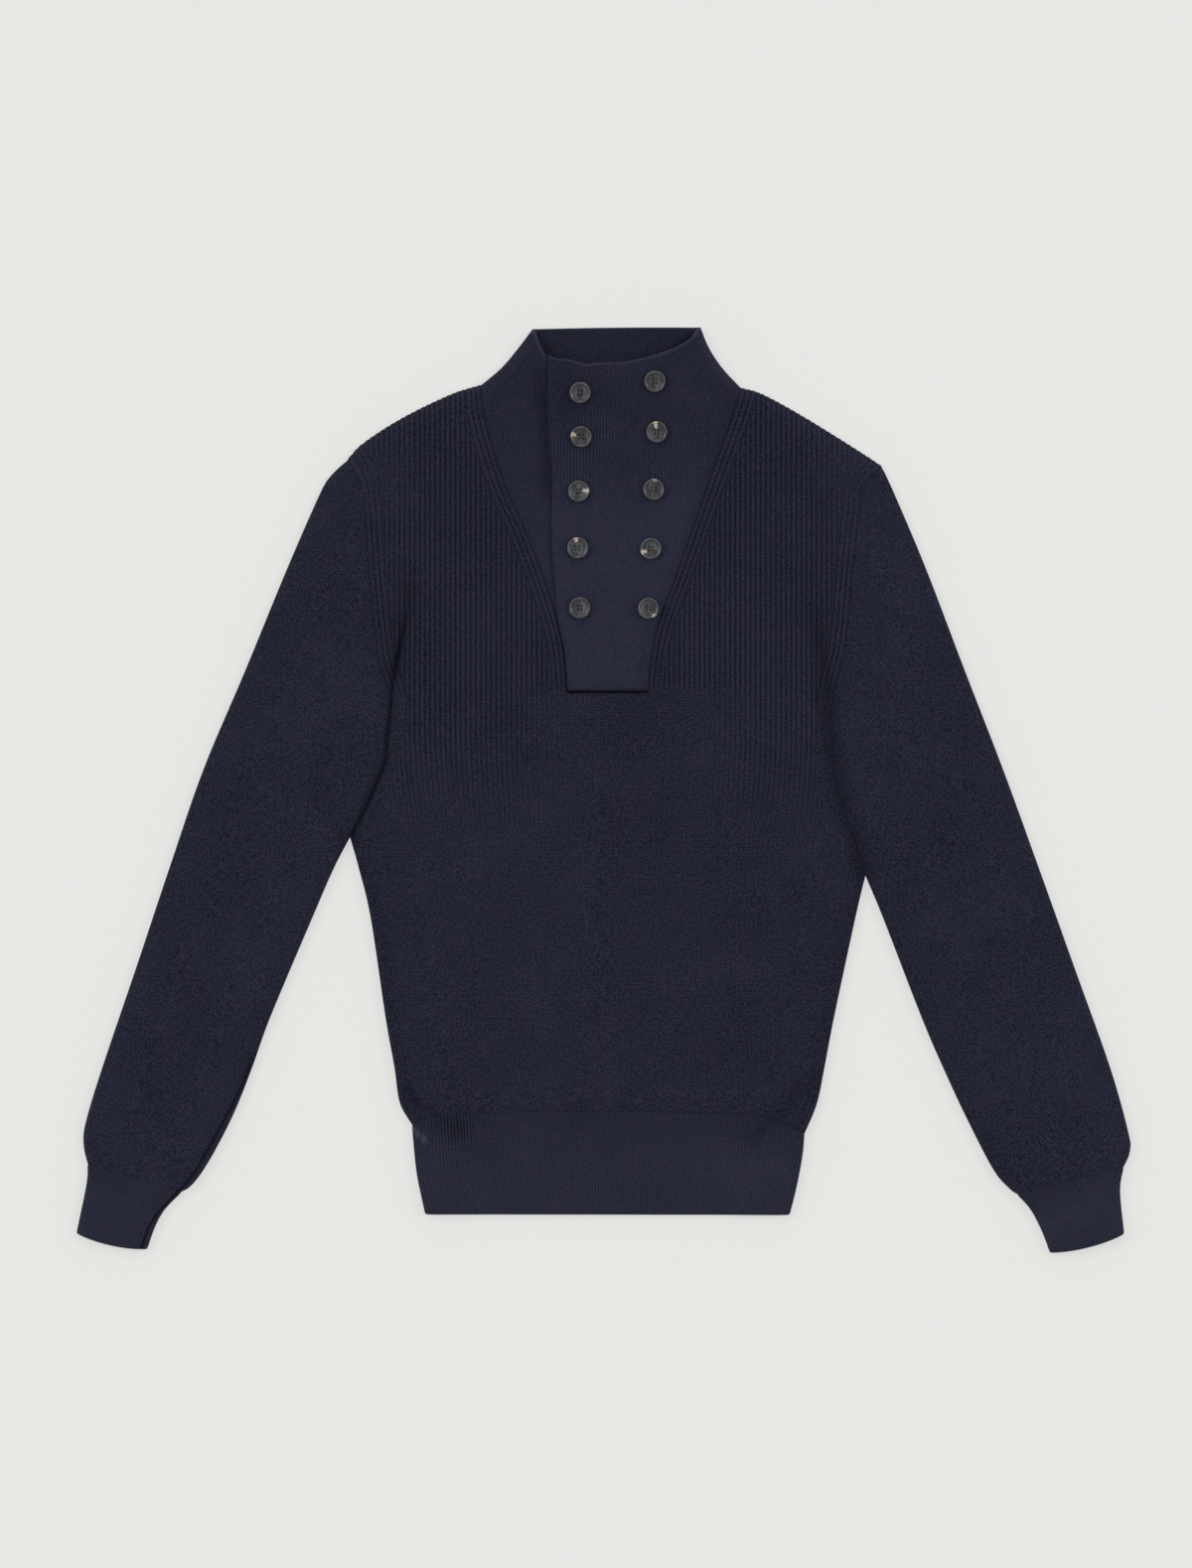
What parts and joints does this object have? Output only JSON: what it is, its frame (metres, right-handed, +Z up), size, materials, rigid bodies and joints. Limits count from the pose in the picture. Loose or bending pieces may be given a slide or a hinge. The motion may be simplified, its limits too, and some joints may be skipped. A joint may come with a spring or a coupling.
{
  "type": "high neck sweater",
  "caption": "High neck pullover laid flat: ribbed body, double-breasted button placket in a V below a funnel collar, long sleeves with ribbed cuffs and a ribbed hem band.",
  "frame": {"origin": "on the surface the sweater lies on, below the middle of its outline", "axes": "+Y runs from the hem to the neck, +X to the wearer's left arm, +Z up, away from the surface and out of the front"},
  "size_m": [0.89, 0.7827, 0.0202],
  "materials": {
    "knit": "matte ribbed knit",
    "rib_knit": "matte fine rib knit",
    "button": "polished horn look"
  },
  "bodies": {
    "root": {"front": "knit", "back": "knit", "sleeve_left": "knit", "sleeve_right": "knit", "cuff_left": "rib_knit", "cuff_right": "rib_knit", "hem_band": "rib_knit", "collar_back": "rib_knit", "collar_under": "rib_knit", "collar_over": "rib_knit", "button_left_1": "button", "button_left_2": "button", "button_left_3": "button", "button_left_4": "button", "button_left_5": "button", "button_right_1": "button", "button_right_2": "button", "button_right_3": "button", "button_right_4": "button", "button_right_5": "button"}
  },
  "joints": []
}
